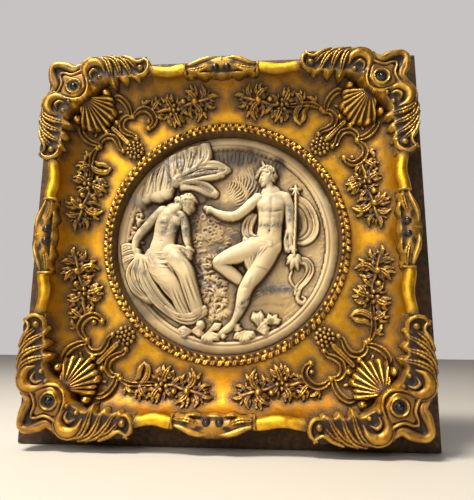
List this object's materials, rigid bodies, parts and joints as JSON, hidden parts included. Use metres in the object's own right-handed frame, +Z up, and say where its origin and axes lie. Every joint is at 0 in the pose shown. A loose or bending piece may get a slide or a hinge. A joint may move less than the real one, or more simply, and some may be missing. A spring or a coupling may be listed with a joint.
{
  "type": "framed marble relief roundel",
  "caption": "Round marble relief of two draped figures in a square, deep, swept gilt frame with shell corners and leaf sprays; hangs flat on a wall.",
  "frame": {"origin": "centre of the flat back, where the plaque meets the wall", "axes": "+Z up, +Y into the wall, the relief faces -Y, +X to a viewer's right"},
  "size_m": [0.5, 0.073, 0.5],
  "materials": {
    "gilt_moulding": "gold leaf with a brown glaze, rubbed",
    "gilt_casting": "gold leaf over compo, dark patina in the recesses",
    "marble": "veined cream marble, honed",
    "bare_wood": "bare board"
  },
  "bodies": {
    "root": {"back_board": "bare_wood", "marble_roundel": "marble", "rail_top": "gilt_moulding", "rail_left": "gilt_moulding", "rail_bottom": "gilt_moulding", "rail_right": "gilt_moulding", "corner_top_left": "gilt_casting", "corner_bottom_left": "gilt_casting", "corner_bottom_right": "gilt_casting", "corner_top_right": "gilt_casting", "centre_top": "gilt_casting", "centre_left": "gilt_casting", "centre_bottom": "gilt_casting", "centre_right": "gilt_casting", "spray_top_left": "gilt_casting", "spray_top_right": "gilt_casting", "spray_left_lower": "gilt_casting", "spray_left_upper": "gilt_casting", "spray_bottom_right": "gilt_casting", "spray_bottom_left": "gilt_casting", "spray_right_upper": "gilt_casting", "spray_right_lower": "gilt_casting", "leaf_band_1": "gilt_casting", "leaf_band_2": "gilt_casting", "leaf_band_3": "gilt_casting", "leaf_band_4": "gilt_casting", "leaf_band_5": "gilt_casting"}
  },
  "joints": []
}
